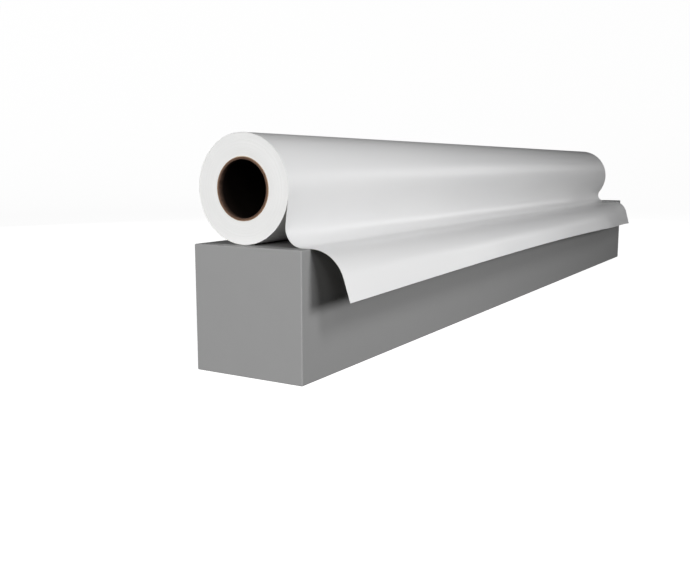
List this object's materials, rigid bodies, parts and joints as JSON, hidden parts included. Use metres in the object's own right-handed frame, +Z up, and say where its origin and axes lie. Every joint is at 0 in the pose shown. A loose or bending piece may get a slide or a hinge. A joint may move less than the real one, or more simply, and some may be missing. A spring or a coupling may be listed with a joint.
{
  "type": "roll of sign vinyl",
  "caption": "Roll of white self-adhesive film and release liner on a cardboard core, with a loose end that droops over the edge of its support.",
  "frame": {"origin": "middle of the length of the flat on which the roll rests, straight under the core's axis", "axes": "+X along the roll, -Y to the side where the loose end leaves it and droops, +Z up"},
  "size_m": [1.6272, 0.2432, 0.1979],
  "materials": {
    "film": "satin",
    "liner": "satin",
    "wound_edge": "matte",
    "core_board": "matte",
    "core_kraft": "matte",
    "tape": "satin"
  },
  "bodies": {
    "outer_turn": {"outer_turn_film": "film", "outer_turn_liner": "liner"},
    "wound_roll": {"core_body": "core_board", "core_inner_ply": "core_kraft", "core_outer_ply": "core_kraft", "start_tape": "tape", "wound_vinyl": "wound_edge"},
    "drop": {"drop_film": "film", "drop_liner": "liner"},
    "crest": {"crest_film": "film", "crest_liner": "liner"},
    "hanging_end": {"hanging_film": "film", "hanging_liner": "liner"},
    "peel_strip": {"leading_film": "film"}
  },
  "joints": [
    {"name": "roll_turn", "type": "hinge", "parent": "outer_turn", "child": "wound_roll", "pos_m": [0, 0, 0.07215], "axis": [1, 0, 0], "continuous": true},
    {"name": "web_swing", "type": "hinge", "parent": "outer_turn", "child": "drop", "pos_m": [0, -0.07145, 0.06274], "axis": [-1, 0, 0], "range_deg": [0, 35]},
    {"name": "crest_lift", "type": "hinge", "parent": "drop", "child": "crest", "pos_m": [0, -0.10182, 0.00075], "axis": [-1, 0, 0], "range_deg": [0, 60]},
    {"name": "end_swing", "type": "hinge", "parent": "crest", "child": "hanging_end", "pos_m": [0, -0.14292, -0.00845], "axis": [-1, 0, 0], "range_deg": [0, 70]},
    {"name": "film_peel", "type": "hinge", "parent": "hanging_end", "child": "peel_strip", "pos_m": [0, -0.1635, -0.03478], "axis": [-1, 0, 0], "range_deg": [0, 110]}
  ]
}
